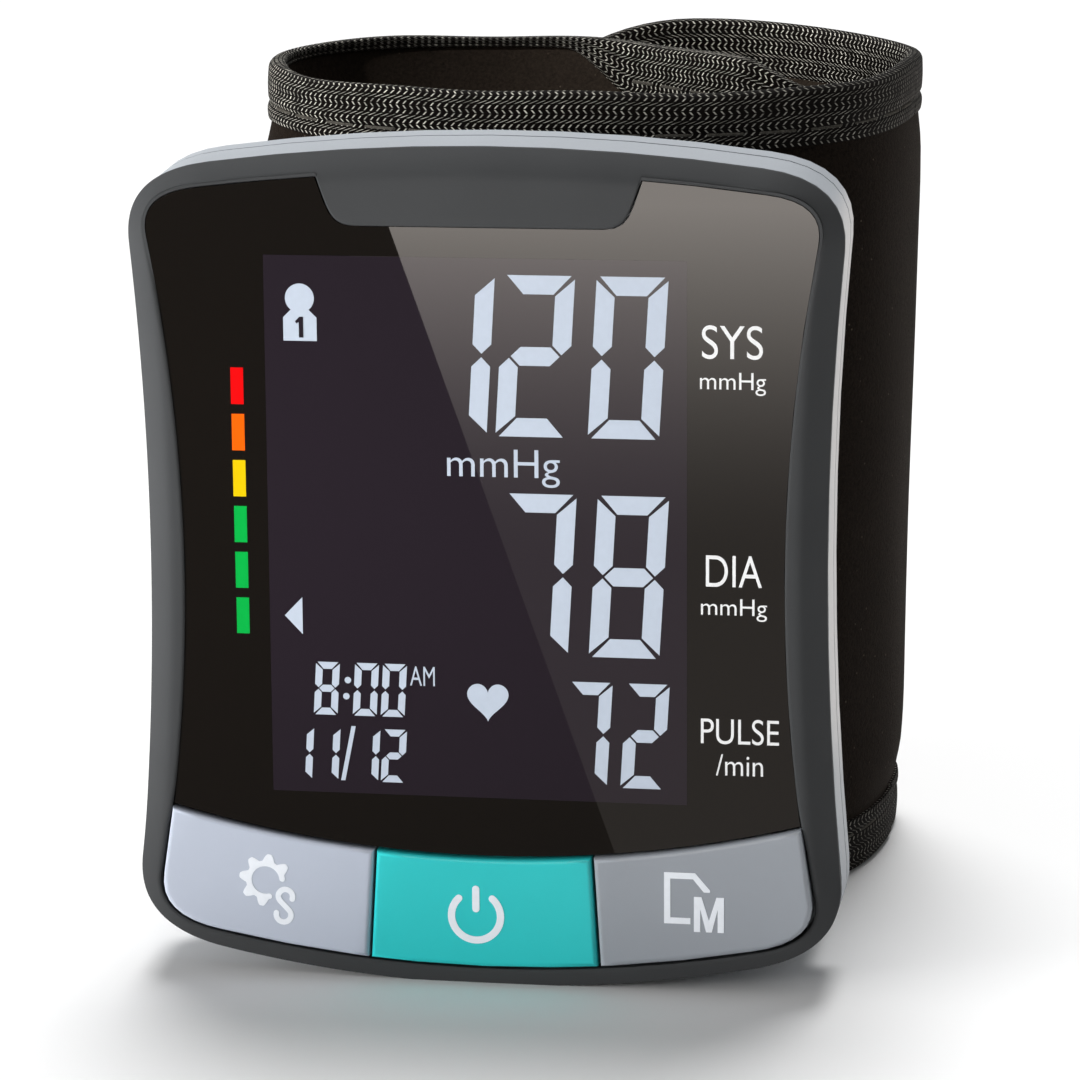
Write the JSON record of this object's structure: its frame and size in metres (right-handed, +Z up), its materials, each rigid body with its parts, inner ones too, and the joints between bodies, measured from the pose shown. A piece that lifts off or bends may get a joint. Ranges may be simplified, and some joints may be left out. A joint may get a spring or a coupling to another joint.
{
  "type": "wrist blood pressure monitor",
  "caption": "Wrist blood pressure monitor: waisted case with a dark display, a row of push buttons and a rolled fabric cuff with a swinging flap.",
  "frame": {"origin": "middle of the flat under the front case, on the surface the monitor stands on", "axes": "+Z up; the display faces -Y and leans back, the cuff is behind it at +Y; +X is to the right seen from the front"},
  "size_m": [0.0651, 0.0757, 0.0747],
  "materials": {
    "grey_plastic": "satin",
    "silver_plastic": "satin",
    "button_grey": "satin",
    "button_teal": "satin",
    "black_acrylic": "gloss",
    "display_glass": "gloss",
    "white_plastic": "satin",
    "board": "satin",
    "black_plastic": "matte",
    "rubber": "matte",
    "silicone": "satin",
    "steel": "satin",
    "cell_sleeve": "gloss",
    "velour": "matte",
    "knit_tape": "matte",
    "bladder_film": "satin",
    "hook_tape": "matte"
  },
  "bodies": {
    "monitor": {"front_bezel": "grey_plastic", "display_window": "black_acrylic", "front_case": "silver_plastic", "rear_case": "silver_plastic", "display_module": "display_glass", "backlight_panel": "white_plastic", "display_connector": "rubber", "main_board": "board", "set_switch": "black_plastic", "power_switch": "black_plastic", "memory_switch": "black_plastic", "processor": "black_plastic", "pressure_sensor": "black_plastic", "buzzer": "black_plastic", "air_manifold": "white_plastic", "exhaust_valve": "steel", "pump_head": "white_plastic", "pump_motor": "steel", "valve_hose": "silicone", "sensor_hose": "silicone", "pump_hose": "silicone", "air_port": "black_plastic", "left_cell": "cell_sleeve", "right_cell": "cell_sleeve", "cell_bridge": "steel", "left_contact": "steel", "right_contact": "steel", "case_screw_1": "steel", "case_screw_2": "steel", "case_screw_3": "steel", "case_screw_4": "steel", "cuff_cover": "velour", "cuff_stay": "black_plastic", "air_bladder": "bladder_film", "cuff_lining": "velour", "upper_binding": "knit_tape", "lower_binding": "knit_tape", "cuff_screw_1": "steel", "cuff_screw_2": "steel"},
    "set_button": {"set_button": "button_grey"},
    "power_button": {"power_button": "button_teal"},
    "memory_button": {"memory_button": "button_grey"},
    "battery_cover": {"battery_cover": "silver_plastic"},
    "flap": {"flap_cover": "velour", "flap_lining": "velour", "flap_binding": "knit_tape", "hook_pad": "hook_tape"}
  },
  "joints": [
    {"name": "set_button_press", "type": "slide", "parent": "monitor", "child": "set_button", "axis": [0, 0.9983, -0.0576], "range_m": [0, 0.0008], "stiffness_N_per_m": 300, "springref_m": -0.001},
    {"name": "power_button_press", "type": "slide", "parent": "monitor", "child": "power_button", "axis": [0, 0.9983, -0.0576], "range_m": [0, 0.0008], "stiffness_N_per_m": 300, "springref_m": -0.001},
    {"name": "memory_button_press", "type": "slide", "parent": "monitor", "child": "memory_button", "axis": [0, 0.9983, -0.0576], "range_m": [0, 0.0008], "stiffness_N_per_m": 300, "springref_m": -0.001},
    {"name": "battery_cover_slide", "type": "slide", "parent": "monitor", "child": "battery_cover", "axis": [-1, 0, 0], "range_m": [0, 0.03]},
    {"name": "flap_swing", "type": "hinge", "parent": "monitor", "child": "flap", "pos_m": [0.03315, 0.04516, 0.03701], "axis": [0.0241, 0.0575, 0.9981], "range_deg": [-120, 0]}
  ]
}
